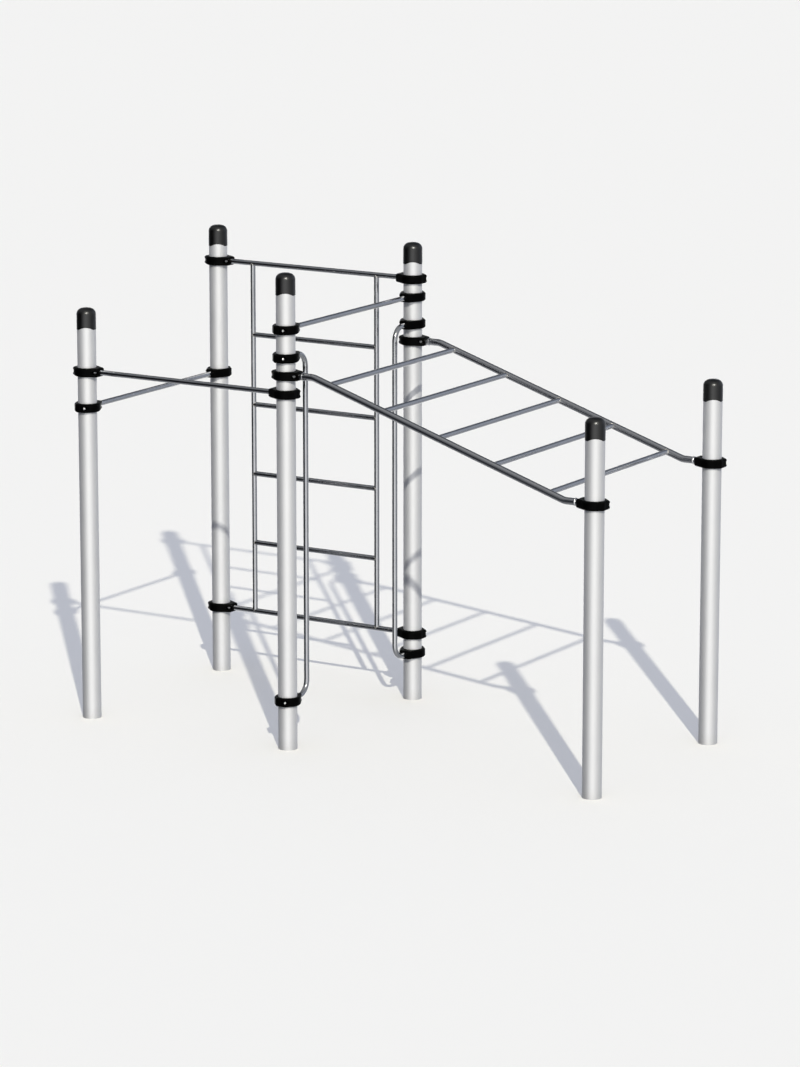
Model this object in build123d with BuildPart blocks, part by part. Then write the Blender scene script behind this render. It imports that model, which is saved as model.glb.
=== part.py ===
from build123d import *

import os
from math import acos, atan2, cos, degrees, hypot, radians, sin

os.makedirs("parts", exist_ok=True)

# Layout of the posts, measured between their axes
wall_bay_length = 1350.0
ladder_bay_length = 1957.0
bay_width = 1344.0

# Posts and caps, heights from the ground to the top of the cap
post_diameter = 108.0
post_wall = 4.0
tall_post_height = 2705.0
cap_overhang = 1.5
cap_height = 123.5
cap_shoulder = 35.0
cap_shoulder_turn = radians(75.0)
cap_seat_drop = 20.0
cap_ledge = 5.0
cap_fit = 0.4

# Arches in the lower rim of each cap, one toward the front right and one opposite
cap_arch_height = 14.0
cap_arch_width = 82.0
cap_arch_turn = radians(31.3)

# Bars and ladder rails
bar_diameter = 30.0
bar_wall = 2.5
rail_diameter = 40.0
rail_wall = 3.0
bar_end_gap = 6.0
weld_gap = 0.3

# Clamps: their wall round the post, and how far nose and tail stand out past it
clamp_wall = 20.0
clamp_lip = 5.0
clamp_edge_bevel = 7.0
nose_length = 21.0
nose_cheek = 13.0
tail_length = 3.0
tail_width = 60.0
clamp_split = 3.0
clamp_fit = 0.3

# Clamp screws, which enter from the right of each bar
screw_diameter = 10.0
screw_head_diameter = 16.0
screw_head_height = 5.0
screw_head_room = 2.0
screw_socket_size = 8.0
screw_socket_depth = 3.5
screw_depth = 30.0
screw_fit = 0.4
nose_screw_setback = 25.0
nose_pocket_wall = 5.0
tail_screw_gap = 12.5
tail_pocket_depth = 5.5

# Bar heights, each measured down from the bar above it or from the top of a tall post
wall_top_drop = 210.5
cross_bar_drop = 103.5
grip_top_drop = 158.0
ladder_high_drop = 98.5
ladder_fall = 517.0
pull_up_drop = 105.0
low_bar_drop = 205.5

# How far the lower posts stand above the bar at their top
left_post_rise = 366.5
ladder_post_rise = 472.5

# Climbing wall and the lowest bars, measured up from the ground
grip_bottom_height = 279.5
wall_bottom_rise = 113.0
wall_rung_count = 4
wall_top_bay_extra = 7.0
upright_offset = 246.0

# Vertical grip poles
grip_reach = 198.0
grip_bend_radius = 80.0

# Inclined ladder
ladder_bend_reach = 183.0
ladder_bend_radius = 90.0
ladder_rung_count = 5
ladder_end_gap = 98.5

# How far a cut runs past the face that it leaves
cut_overrun = 10.0

# Radii and places of the posts
post_radius = post_diameter / 2
post_bore_radius = post_radius - post_wall
cap_radius = post_radius + cap_overhang
bar_radius = bar_diameter / 2
rail_radius = rail_diameter / 2
left_x = -(wall_bay_length + ladder_bay_length) / 2
middle_x = left_x + wall_bay_length
right_x = middle_x + ladder_bay_length
front_y = -bay_width / 2
back_y = bay_width / 2

# Heights of the bars and of the lower posts
wall_top_height = tall_post_height - wall_top_drop
cross_bar_height = wall_top_height - cross_bar_drop
grip_top_height = cross_bar_height - grip_top_drop
ladder_high_height = grip_top_height - ladder_high_drop
ladder_low_height = ladder_high_height - ladder_fall
pull_up_height = ladder_high_height - pull_up_drop
low_bar_height = pull_up_height - low_bar_drop
wall_bottom_height = grip_bottom_height + wall_bottom_rise
left_post_height = pull_up_height + left_post_rise
ladder_post_height = ladder_low_height + ladder_post_rise
wall_climb = wall_top_height - wall_bottom_height - wall_top_bay_extra
wall_rung_pitch = wall_climb / (wall_rung_count + 1)

# Clamp reaches from the post axis, and the screws in them
clamp_radius = post_radius + clamp_wall
clamp_height = rail_diameter + 2 * clamp_lip
nose_reach = clamp_radius + nose_length
nose_width = rail_diameter + 2 * nose_cheek
tail_reach = clamp_radius + tail_length
bar_end_offset = post_radius + bar_end_gap
nose_screw_offset = nose_reach - nose_screw_setback
tail_screw_offset = post_radius + tail_screw_gap
tail_pocket_floor = tail_width / 2 - tail_pocket_depth
screw_pocket_width = screw_head_diameter + 2 * screw_head_room

# Directions in which a bar can leave its post
to_right = Vector(1, 0, 0)
to_left = Vector(-1, 0, 0)
to_back = Vector(0, 1, 0)
to_front = Vector(0, -1, 0)
upward = Vector(0, 0, 1)

# Post tubes, and the domed caps that sleeve over them and rest on their upper ends
posts = [
    ("front_left", left_x, front_y, left_post_height),
    ("back_left", left_x, back_y, tall_post_height),
    ("front_middle", middle_x, front_y, tall_post_height),
    ("back_middle", middle_x, back_y, tall_post_height),
    ("front_right", right_x, front_y, ladder_post_height),
    ("back_right", right_x, back_y, ladder_post_height),
]

shoulder_top = cap_shoulder * sin(cap_shoulder_turn)
dome_start = cap_radius - cap_shoulder + cap_shoulder * cos(cap_shoulder_turn)
dome_radius = dome_start / cos(cap_shoulder_turn)
dome_rise = dome_radius * (1 - sin(cap_shoulder_turn))
cap_side_height = cap_height - shoulder_top - dome_rise
cap_sleeve_depth = cap_side_height - cap_seat_drop
cap_sleeve_radius = post_radius + cap_fit
cap_hollow_radius = post_bore_radius - cap_ledge
cap_arch_radius = (cap_arch_width**2 / 4 + cap_arch_height**2) / (2 * cap_arch_height)
arch_heading = Vector(sin(cap_arch_turn), -cos(cap_arch_turn), 0)

for place, post_x, post_y, post_height in posts:
    rim_height = post_height - cap_height
    rim = Plane(origin=(post_x, post_y, rim_height))
    arch = Plane(rim.offset(cap_arch_height - cap_arch_radius).origin, z_dir=arch_heading)

    with BuildPart() as post:
        with BuildSketch(Plane(origin=(post_x, post_y, 0))):
            Circle(post_radius)
            Circle(post_bore_radius, mode=Mode.SUBTRACT)
        extrude(amount=rim_height + cap_sleeve_depth)
    post.part.label = f"post_{place}"
    export_step(post.part, f"parts/post_{place}.step")

    with BuildPart() as cap:
        with BuildSketch(Plane(rim.origin, x_dir=to_right, z_dir=to_front)):
            with BuildLine():
                foot = Line((0, 0), (cap_radius, 0))
                side = Line(foot @ 1, (cap_radius, cap_side_height))
                shoulder = JernArc(side @ 1, side % 1, cap_shoulder, degrees(cap_shoulder_turn))
                dome = JernArc(shoulder @ 1, shoulder % 1, dome_radius, 90 - degrees(cap_shoulder_turn))
                Polyline(dome @ 1, (0, 0))
            make_face()
        revolve(axis=Axis((post_x, post_y, 0), upward))
        with BuildSketch(rim):
            Circle(cap_sleeve_radius)
        extrude(amount=cap_sleeve_depth, mode=Mode.SUBTRACT)
        with BuildSketch(rim):
            Circle(cap_hollow_radius)
        extrude(amount=cap_side_height, mode=Mode.SUBTRACT)
        with BuildSketch(arch):
            Circle(cap_arch_radius)
        extrude(amount=cap_radius + cut_overrun, both=True, mode=Mode.SUBTRACT)
    cap.part.label = f"cap_{place}"
    export_step(cap.part, f"parts/cap_{place}.step")

# Clamps: the post each one sits on, its height, which way its bar leaves and the bar's radius
front_left = (left_x, front_y)
back_left = (left_x, back_y)
front_middle = (middle_x, front_y)
back_middle = (middle_x, back_y)
front_right = (right_x, front_y)
back_right = (right_x, back_y)

clamps = [
    ("front_left_pull_up_bar", front_left, pull_up_height, to_right, bar_radius),
    ("front_left_low_bar", front_left, low_bar_height, to_back, bar_radius),
    ("back_left_wall_top", back_left, wall_top_height, to_right, bar_radius),
    ("back_left_low_bar", back_left, low_bar_height, to_front, bar_radius),
    ("back_left_wall_bottom", back_left, wall_bottom_height, to_right, bar_radius),
    ("front_middle_cross_bar", front_middle, cross_bar_height, to_back, bar_radius),
    ("front_middle_grip_top", front_middle, grip_top_height, to_back, bar_radius),
    ("front_middle_ladder", front_middle, ladder_high_height, to_right, rail_radius),
    ("front_middle_pull_up_bar", front_middle, pull_up_height, to_left, bar_radius),
    ("front_middle_grip_bottom", front_middle, grip_bottom_height, to_back, bar_radius),
    ("back_middle_wall_top", back_middle, wall_top_height, to_left, bar_radius),
    ("back_middle_cross_bar", back_middle, cross_bar_height, to_front, bar_radius),
    ("back_middle_grip_top", back_middle, grip_top_height, to_front, bar_radius),
    ("back_middle_ladder", back_middle, ladder_high_height, to_right, rail_radius),
    ("back_middle_wall_bottom", back_middle, wall_bottom_height, to_left, bar_radius),
    ("back_middle_grip_bottom", back_middle, grip_bottom_height, to_front, bar_radius),
    ("front_right_ladder", front_right, ladder_low_height, to_left, rail_radius),
    ("back_right_ladder", back_right, ladder_low_height, to_left, rail_radius),
]

# Where a line from an end corner of the clamp meets its round body
nose_half = nose_width / 2
tail_half = tail_width / 2
nose_turn = atan2(nose_half, nose_reach) + acos(clamp_radius / hypot(nose_reach, nose_half))
tail_turn = atan2(tail_half, tail_reach) + acos(clamp_radius / hypot(tail_reach, tail_half))
nose_meet = (clamp_radius * cos(nose_turn), clamp_radius * sin(nose_turn))
tail_meet = (-clamp_radius * cos(tail_turn), clamp_radius * sin(tail_turn))
clamp_outline = [
    (nose_reach, nose_half),
    nose_meet,
    tail_meet,
    (-tail_reach, tail_half),
    (-tail_reach, -tail_half),
    (tail_meet[0], -tail_meet[1]),
    (nose_meet[0], -nose_meet[1]),
    (nose_reach, -nose_half),
]
screw_hole_radius = screw_diameter / 2 + screw_fit
screw_solids = []

for place, (post_x, post_y), clamp_z, heading, held_radius in clamps:
    right_side = heading.cross(upward)
    seat = Plane(origin=(post_x, post_y, clamp_z), x_dir=heading, z_dir=upward)
    across = Plane(origin=seat.origin, x_dir=heading, z_dir=right_side)
    along = Plane(origin=seat.origin, x_dir=right_side, z_dir=heading)
    nose_pocket_floor = held_radius + nose_pocket_wall
    pockets = [
        (nose_screw_offset, nose_reach, nose_pocket_floor),
        (-tail_screw_offset, -tail_reach, tail_pocket_floor),
    ]

    with BuildPart() as clamp:
        with BuildSketch(seat.offset(-clamp_height / 2)):
            Circle(clamp_radius)
            Polygon(*clamp_outline, align=None)
        extrude(amount=clamp_height)
        rims = clamp.faces().sort_by(Axis.Z)
        chamfer(rims[0].edges() + rims[-1].edges(), length=clamp_edge_bevel)
        with BuildSketch(seat.offset(-clamp_height)):
            Circle(post_radius + clamp_fit)
            Rectangle(2 * (nose_reach + tail_reach), clamp_split)
        extrude(amount=2 * clamp_height, mode=Mode.SUBTRACT)
        with BuildSketch(along):
            Circle(held_radius + clamp_fit)
        extrude(amount=nose_reach + cut_overrun, mode=Mode.SUBTRACT)
        for screw_x, end_x, floor in pockets:
            with BuildSketch(across.offset(floor)):
                with Locations((screw_x, 0)):
                    Circle(screw_pocket_width / 2)
                with Locations(((screw_x + 2 * end_x) / 2, 0)):
                    Rectangle(abs(2 * end_x - screw_x), screw_pocket_width)
            extrude(amount=clamp_radius, mode=Mode.SUBTRACT)
            with BuildSketch(across.offset(-screw_depth - screw_fit)):
                with Locations((screw_x, 0)):
                    Circle(screw_hole_radius)
            extrude(amount=screw_depth + clamp_radius, mode=Mode.SUBTRACT)
    clamp.part.label = f"clamp_{place}"
    export_step(clamp.part, f"parts/clamp_{place}.step")

    for screw_x, end_x, floor in pockets:
        with BuildPart() as screw:
            with BuildSketch(across.offset(-screw_depth)):
                with Locations((screw_x, 0)):
                    Circle(screw_diameter / 2)
            extrude(amount=screw_depth + floor)
            with BuildSketch(across.offset(floor)):
                with Locations((screw_x, 0)):
                    Circle(screw_head_diameter / 2)
            extrude(amount=screw_head_height)
            with BuildSketch(across.offset(floor + screw_head_height)):
                with Locations((screw_x, 0)):
                    RegularPolygon(screw_socket_size / 2, side_count=6, major_radius=False)
            extrude(amount=-screw_socket_depth, mode=Mode.SUBTRACT)
        screw_solids.extend(screw.part.solids())

clamp_screws = Compound(screw_solids)
clamp_screws.label = "clamp_screws"
export_step(clamp_screws, "parts/clamp_screws.step")

# Straight bars from post to post
straight_bars = [
    ("pull_up_bar", front_left, pull_up_height, to_right, wall_bay_length),
    ("low_bar", front_left, low_bar_height, to_back, bay_width),
    ("cross_bar", front_middle, cross_bar_height, to_back, bay_width),
    ("wall_top_rail", back_left, wall_top_height, to_right, wall_bay_length),
    ("wall_bottom_rail", back_left, wall_bottom_height, to_right, wall_bay_length),
]

for name, (post_x, post_y), bar_z, heading, span in straight_bars:
    start = Vector(post_x, post_y, bar_z)
    side = heading.cross(upward)
    across = Plane(origin=start, x_dir=heading, z_dir=side)

    with BuildPart() as bar:
        with BuildSketch(Plane(origin=start, x_dir=side, z_dir=heading).offset(bar_end_offset)):
            Circle(bar_radius)
            Circle(bar_radius - bar_wall, mode=Mode.SUBTRACT)
        extrude(amount=span - 2 * bar_end_offset)
        with BuildSketch(across.offset(-bar_diameter)):
            with Locations((nose_screw_offset, 0), (span - nose_screw_offset, 0)):
                Circle(screw_hole_radius)
        extrude(amount=2 * bar_diameter, mode=Mode.SUBTRACT)
    bar.part.label = name
    export_step(bar.part, f"parts/{name}.step")

# Climbing wall uprights, fitted between the two rails
uprights = [
    ("wall_left_upright", left_x + upright_offset),
    ("wall_right_upright", middle_x - upright_offset),
]

for name, upright_x in uprights:
    with BuildPart() as upright:
        with BuildSketch(Plane(origin=(upright_x, back_y, wall_bottom_height))):
            Circle(bar_radius)
            Circle(bar_radius - bar_wall, mode=Mode.SUBTRACT)
        extrude(amount=wall_top_height - wall_bottom_height)
        for rail_z in (wall_bottom_height, wall_top_height):
            with BuildSketch(Plane(origin=(upright_x - bar_diameter, back_y, rail_z), z_dir=to_right)):
                Circle(bar_radius + weld_gap)
            extrude(amount=2 * bar_diameter, mode=Mode.SUBTRACT)
    upright.part.label = name
    export_step(upright.part, f"parts/{name}.step")

# Climbing wall rungs, fitted between the uprights
for number in range(1, wall_rung_count + 1):
    rung_z = wall_bottom_height + number * wall_rung_pitch
    name = f"wall_rung_{number}"

    with BuildPart() as rung:
        with BuildSketch(Plane(origin=(left_x + upright_offset, back_y, rung_z), z_dir=to_right)):
            Circle(bar_radius)
            Circle(bar_radius - bar_wall, mode=Mode.SUBTRACT)
        extrude(amount=wall_bay_length - 2 * upright_offset)
        for _, upright_x in uprights:
            with BuildSketch(Plane(origin=(upright_x, back_y, rung_z - bar_diameter))):
                Circle(bar_radius + weld_gap)
            extrude(amount=2 * bar_diameter, mode=Mode.SUBTRACT)
    rung.part.label = name
    export_step(rung.part, f"parts/{name}.step")

# Vertical grip poles, bent back to their post at the top and the bottom
grip_poles = [
    ("grip_pole_front", front_y, 1),
    ("grip_pole_back", back_y, -1),
]

for name, post_y, side in grip_poles:
    end_y = post_y + side * bar_end_offset
    pole_y = post_y + side * grip_reach

    with BuildPart() as pole:
        with BuildLine() as pole_path:
            FilletPolyline(
                (middle_x, end_y, grip_top_height),
                (middle_x, pole_y, grip_top_height),
                (middle_x, pole_y, grip_bottom_height),
                (middle_x, end_y, grip_bottom_height),
                radius=grip_bend_radius,
            )
        with BuildSketch(Plane(origin=pole_path.line @ 0, z_dir=pole_path.line % 0)):
            Circle(bar_radius)
            Circle(bar_radius - bar_wall, mode=Mode.SUBTRACT)
        sweep(path=pole_path.line)
        with BuildSketch(Plane(origin=(middle_x - bar_diameter, post_y, 0), x_dir=to_back, z_dir=to_right)):
            with Locations(
                (side * nose_screw_offset, grip_top_height),
                (side * nose_screw_offset, grip_bottom_height),
            ):
                Circle(screw_hole_radius)
        extrude(amount=2 * bar_diameter, mode=Mode.SUBTRACT)
    pole.part.label = name
    export_step(pole.part, f"parts/{name}.step")

# Inclined ladder rails, level at both ends
ladder_run = ladder_bay_length - 2 * ladder_bend_reach
ladder_slope = -ladder_fall / ladder_run
ladder_middle = Vector((middle_x + right_x) / 2, 0, (ladder_high_height + ladder_low_height) / 2)
slope_heading = Vector(ladder_run, 0, -ladder_fall).normalized()

for name, rail_y in (("ladder_front_rail", front_y), ("ladder_back_rail", back_y)):
    with BuildPart() as rail:
        with BuildLine() as rail_path:
            FilletPolyline(
                (middle_x + bar_end_offset, rail_y, ladder_high_height),
                (middle_x + ladder_bend_reach, rail_y, ladder_high_height),
                (right_x - ladder_bend_reach, rail_y, ladder_low_height),
                (right_x - bar_end_offset, rail_y, ladder_low_height),
                radius=ladder_bend_radius,
            )
        with BuildSketch(Plane(origin=rail_path.line @ 0, z_dir=rail_path.line % 0)):
            Circle(rail_radius)
            Circle(rail_radius - rail_wall, mode=Mode.SUBTRACT)
        sweep(path=rail_path.line)
        with BuildSketch(Plane(origin=(0, rail_y + rail_diameter, 0), x_dir=to_right, z_dir=to_front)):
            with Locations(
                (middle_x + nose_screw_offset, ladder_high_height),
                (right_x - nose_screw_offset, ladder_low_height),
            ):
                Circle(screw_hole_radius)
        extrude(amount=2 * rail_diameter, mode=Mode.SUBTRACT)
    rail.part.label = name
    export_step(rail.part, f"parts/{name}.step")

# Ladder rungs, fitted between the rails
ladder_rung_step = (ladder_run - 2 * ladder_end_gap) / (ladder_rung_count - 1)

for number in range(1, ladder_rung_count + 1):
    steps_from_middle = number - (ladder_rung_count + 1) / 2
    rung_x = ladder_middle.X + steps_from_middle * ladder_rung_step
    rung_z = ladder_middle.Z + steps_from_middle * ladder_rung_step * ladder_slope
    name = f"ladder_rung_{number}"

    with BuildPart() as rung:
        with BuildSketch(Plane(origin=(rung_x, front_y, rung_z), x_dir=to_right, z_dir=to_back)):
            Circle(bar_radius)
            Circle(bar_radius - bar_wall, mode=Mode.SUBTRACT)
        extrude(amount=bay_width)
        for rail_y in (front_y, back_y):
            crossing = Plane(origin=(rung_x, rail_y, rung_z), x_dir=to_back, z_dir=slope_heading)
            with BuildSketch(crossing.offset(-rail_diameter)):
                Circle(rail_radius + weld_gap)
            extrude(amount=2 * rail_diameter, mode=Mode.SUBTRACT)
    rung.part.label = name
    export_step(rung.part, f"parts/{name}.step")
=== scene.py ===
import logging
from dataclasses import dataclass
from enum import Enum
from math import acos, atan2, cos, hypot, pi, radians, sin

import bmesh
import bpy
import numpy as np
from mathutils import Matrix, Vector


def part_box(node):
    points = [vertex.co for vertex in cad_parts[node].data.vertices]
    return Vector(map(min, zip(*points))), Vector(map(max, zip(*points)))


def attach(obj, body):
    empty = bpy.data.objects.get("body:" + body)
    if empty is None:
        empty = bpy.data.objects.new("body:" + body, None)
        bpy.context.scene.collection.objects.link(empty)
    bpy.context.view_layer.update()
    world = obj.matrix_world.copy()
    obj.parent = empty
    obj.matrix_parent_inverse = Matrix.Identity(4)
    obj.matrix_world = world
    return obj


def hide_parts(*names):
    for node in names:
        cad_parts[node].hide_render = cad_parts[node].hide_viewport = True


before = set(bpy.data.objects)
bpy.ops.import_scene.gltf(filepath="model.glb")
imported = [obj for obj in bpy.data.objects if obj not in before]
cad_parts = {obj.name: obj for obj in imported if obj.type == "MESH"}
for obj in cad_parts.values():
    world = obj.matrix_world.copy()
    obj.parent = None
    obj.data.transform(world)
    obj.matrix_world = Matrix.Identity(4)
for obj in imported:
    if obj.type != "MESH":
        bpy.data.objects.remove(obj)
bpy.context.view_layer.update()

MM = 0.001
BODY = "root"

log = logging.getLogger("fitness_station")

Triple = tuple[float, float, float]
Colour = Triple
Inputs = dict[str, float | tuple[float, ...]]
Socket = bpy.types.NodeSocket
Material = bpy.types.Material
Mesh = bpy.types.Mesh
Noise = tuple[float, float]
Span = tuple[float, float]


class Heading(Enum):
    """Way in which a clamp points, with the unit vector that its bar follows."""

    TO_RIGHT = (1.0, 0.0, 0.0)
    TO_LEFT = (-1.0, 0.0, 0.0)
    TO_BACK = (0.0, 1.0, 0.0)
    TO_FRONT = (0.0, -1.0, 0.0)

    @classmethod
    def of_box(cls, low: Vector, high: Vector, axis: Vector) -> "Heading":
        """Heading of a clamp, which is where its box reaches farthest from its post's axis."""
        ends = (low - axis, high - axis)
        return max(cls, key=lambda way: max(Vector(way.value).dot(end) for end in ends))

    def frame_at(self, origin: Vector) -> Matrix:
        """Matrix from clamp axes, with x along the bar and z up, to the whole station.

        Args:
            origin: Centre of the clamp, on the axis of its post.

        Returns:
            A 4 by 4 matrix without any scale.
        """
        along = Vector(self.value)
        upward = Vector((0.0, 0.0, 1.0))
        turned = Matrix((along, upward.cross(along), upward)).transposed().to_4x4()
        return Matrix.Translation(origin) @ turned


class Run(Enum):
    """Line that the grinding marks of a steel tube follow.

    Each holds the line's turns about Y and Z in degrees, and how the names of its tubes start.
    """

    ALONG_X = (0.0, 0.0, ("pull_up_bar", "wall_top_rail", "wall_bottom_rail", "wall_rung_"))
    ALONG_Y = (0.0, 90.0, ("low_bar", "cross_bar", "ladder_rung_"))
    ALONG_Z = (90.0, 0.0, ("wall_left_upright", "wall_right_upright", "grip_pole_"))
    ALONG_SLOPE = (18.0, 0.0, ("ladder_front_rail", "ladder_back_rail"))


class NodeDeck:
    """Adds shader nodes to one tree and joins them."""

    def __init__(self, tree: bpy.types.NodeTree) -> None:
        """Keeps the tree and empties it."""
        self.tree = tree
        tree.nodes.clear()

    def add(self, kind: str, inputs: Inputs | None = None, **settings: object) -> bpy.types.Node:
        """Adds one node.

        Args:
            kind: Blender's name for the node type.
            inputs: Values for its sockets, by socket name.
            settings: Values for the node's own settings.

        Returns:
            The new node.
        """
        node = self.tree.nodes.new(kind)
        for name, value in settings.items():
            setattr(node, name, value)
        for name, value in (inputs or {}).items():
            node.inputs[name].default_value = value
        return node

    def feed(self, target: Socket, source: Socket | Colour | float) -> None:
        """Joins an output to an input socket, or writes a plain colour or number there.

        Args:
            target: The input socket.
            source: An output socket, a colour or a number.
        """
        if isinstance(source, bpy.types.NodeSocket):
            self.tree.links.new(source, target)
        else:
            target.default_value = (*source, 1.0) if target.type == "RGBA" else source

    def finish(self, shader: bpy.types.Node, kind: str = "ShaderNodeOutputMaterial") -> None:
        """Sends a shader to the tree's output."""
        self.feed(self.add(kind).inputs["Surface"], shader.outputs[0])

    def place(self) -> Socket:
        """Socket that gives the place on the piece, in metres."""
        return self.add("ShaderNodeTexCoord").outputs["Object"]

    def noise(self, place: Socket, scale: float, detail: float) -> Socket:
        """Soft noise over a place.

        Args:
            place: Socket with the place to read.
            scale: Number of blotches to a metre.
            detail: Number of finer layers.

        Returns:
            Socket that runs from 0 to 1.
        """
        node = self.add("ShaderNodeTexNoise", {"Scale": scale, "Detail": detail})
        self.feed(node.inputs["Vector"], place)
        return node.outputs["Fac"]

    def spread(self, value: Socket, low: float, high: float) -> Socket:
        """Stretches the middle of a noise to run from low to high.

        Args:
            value: Socket to stretch.
            low: Result at the noise's dark end.
            high: Result at the noise's light end.

        Returns:
            Socket with the result, held between both ends.
        """
        dark_share, light_share = 0.3, 0.7
        limits = {"From Min": dark_share, "From Max": light_share, "To Min": low, "To Max": high}
        node = self.add("ShaderNodeMapRange", limits)
        self.feed(node.inputs["Value"], value)
        return node.outputs["Result"]

    def blend(self, share: Socket, first: Socket | Colour, second: Colour) -> Socket:
        """Blends two colours.

        Args:
            share: Socket with the share of the second colour.
            first: Colour at a share of 0.
            second: Colour at a share of 1.

        Returns:
            Socket with the colour.
        """
        node = self.add("ShaderNodeMix", data_type="RGBA")
        for name, source in (("Factor", share), ("A", first), ("B", second)):
            self.feed(node.inputs[name], source)
        return node.outputs["Result"]

    def reckon(
        self, operation: str, first: Socket, second: Socket | Colour | float, vectors: bool = False
    ) -> bpy.types.NodeOutputs:
        """Works out one step of arithmetic.

        Args:
            operation: Blender's name for the step.
            first: Its first term.
            second: Its second term.
            vectors: Whether the terms are vectors.

        Returns:
            The outputs of the node.
        """
        kind = "ShaderNodeVectorMath" if vectors else "ShaderNodeMath"
        node = self.add(kind, operation=operation)
        self.feed(node.inputs[0], first)
        self.feed(node.inputs[1], second)
        return node.outputs

    def bump(self, height: Socket, depth: float, strength: float) -> Socket:
        """Turns a height into a bent normal.

        Args:
            height: Socket that runs from 0 to 1.
            depth: Depth of the relief in metres.
            strength: Share of the bend that is used.

        Returns:
            Socket with the normal.
        """
        node = self.add("ShaderNodeBump", {"Strength": strength, "Distance": depth})
        self.feed(node.inputs["Height"], height)
        return node.outputs["Normal"]


def new_material(
    name: str, kind: str, inputs: Inputs | None = None
) -> tuple[Material, NodeDeck, bpy.types.Node]:
    """Starts a material with one shader.

    Args:
        name: Name of the material.
        kind: Blender's name for the shader.
        inputs: Values for the shader's sockets.

    Returns:
        The material, its node deck and the shader.
    """
    material = bpy.data.materials.new(name)
    material.use_nodes = True
    deck = NodeDeck(material.node_tree)
    shader = deck.add(kind, inputs)
    deck.finish(shader)
    return material, deck, shader


@dataclass(frozen=True)
class Finish:
    """Finish with clouds of a second colour, an uneven sheen and a fine relief.

    A Noise holds its blotches to a metre and its number of finer layers.
    """

    name: str
    colour: Colour
    cloud_colour: Colour
    clouds: Noise
    sheen: Noise
    roughness: Span
    relief: Noise = (0.0, 0.0)
    relief_depth: float = 0.0
    relief_strength: float = 0.2
    metallic: float = 1.0
    specular: float = 0.5

    def soiled(self, deck: NodeDeck, place: Socket, colour: Socket) -> Socket:
        """Colour with what lies on it, which is nothing unless a finish says so."""
        return colour

    def marked(self, deck: NodeDeck, place: Socket) -> Socket:
        """Place where sheen and relief are read, which a finish may stretch."""
        return place

    def make(self) -> Material:
        """Builds the material: clouds give its colour, finer noises its sheen and relief.

        Returns:
            The material.
        """
        inputs = {"Metallic": self.metallic, "Specular IOR Level": self.specular}
        material, deck, shader = new_material(self.name, "ShaderNodeBsdfPrincipled", inputs)
        place = deck.place()
        share = deck.spread(deck.noise(place, *self.clouds), 0.0, 1.0)
        colour = self.soiled(deck, place, deck.blend(share, self.colour, self.cloud_colour))
        deck.feed(shader.inputs["Base Color"], colour)
        marks = self.marked(deck, place)
        uneven = deck.spread(deck.noise(marks, *self.sheen), *self.roughness)
        deck.feed(shader.inputs["Roughness"], uneven)
        if self.relief_depth:
            height = deck.noise(marks, *self.relief)
            normal = deck.bump(height, self.relief_depth, self.relief_strength)
            deck.feed(shader.inputs["Normal"], normal)
        return material


@dataclass(frozen=True)
class PostPaint(Finish):
    """White powder coat with metal flake, fine orange peel and a trace of dust at the ground."""

    name: str = "post_paint"
    colour: Colour = (0.88, 0.88, 0.88)
    cloud_colour: Colour = (0.855, 0.857, 0.86)
    clouds: Noise = (5.0, 3.0)
    sheen: Noise = (14.0, 4.0)
    roughness: Span = (0.50, 0.55)
    relief: Noise = (330.0, 1.0)
    relief_depth: float = 0.12 * MM
    relief_strength: float = 0.5
    metallic: float = 0.55
    dust: Colour = (0.62, 0.60, 0.56)
    dust_height: float = 70 * MM
    dust_share: float = 0.45
    speckle: Noise = (90.0, 5.0)

    def soiled(self, deck: NodeDeck, place: Socket, colour: Socket) -> Socket:
        """Colour with speckled dust that fades with the height above the ground.

        Args:
            deck: Nodes of the material.
            place: Socket with the place on the post.
            colour: Socket with the clean colour.

        Returns:
            Socket with the dusty colour.
        """
        height = deck.add("ShaderNodeSeparateXYZ")
        deck.feed(height.inputs["Vector"], place)
        limits = {"From Max": self.dust_height, "To Min": self.dust_share, "To Max": 0.0}
        fade = deck.add("ShaderNodeMapRange", limits)
        deck.feed(fade.inputs["Value"], height.outputs["Z"])
        speckle = deck.noise(place, *self.speckle)
        share = deck.reckon("MULTIPLY", fade.outputs["Result"], speckle)["Value"]
        return deck.blend(share, colour, self.dust)


@dataclass(frozen=True)
class CapPlastic(Finish):
    """Dark grey moulded plastic with a fine spark-eroded grain."""

    name: str = "cap_plastic"
    colour: Colour = (0.0014, 0.0014, 0.0014)
    cloud_colour: Colour = (0.0030, 0.0030, 0.0030)
    clouds: Noise = (24.0, 4.0)
    sheen: Noise = (60.0, 3.0)
    roughness: Span = (0.31, 0.36)
    relief: Noise = (900.0, 2.0)
    relief_depth: float = 0.06 * MM
    relief_strength: float = 0.3
    metallic: float = 0.0
    specular: float = 0.8


@dataclass(frozen=True)
class ClampCoat(Finish):
    """Matt black powder coat of the cast clamps, rubbed lighter in soft patches."""

    name: str = "clamp_coat"
    colour: Colour = (0.0008, 0.0008, 0.0008)
    cloud_colour: Colour = (0.0018, 0.0018, 0.0018)
    clouds: Noise = (35.0, 4.0)
    sheen: Noise = (120.0, 2.0)
    roughness: Span = (0.32, 0.42)
    relief: Noise = (700.0, 3.0)
    relief_depth: float = 0.12 * MM
    relief_strength: float = 0.7
    metallic: float = 0.0
    specular: float = 0.03


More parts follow.
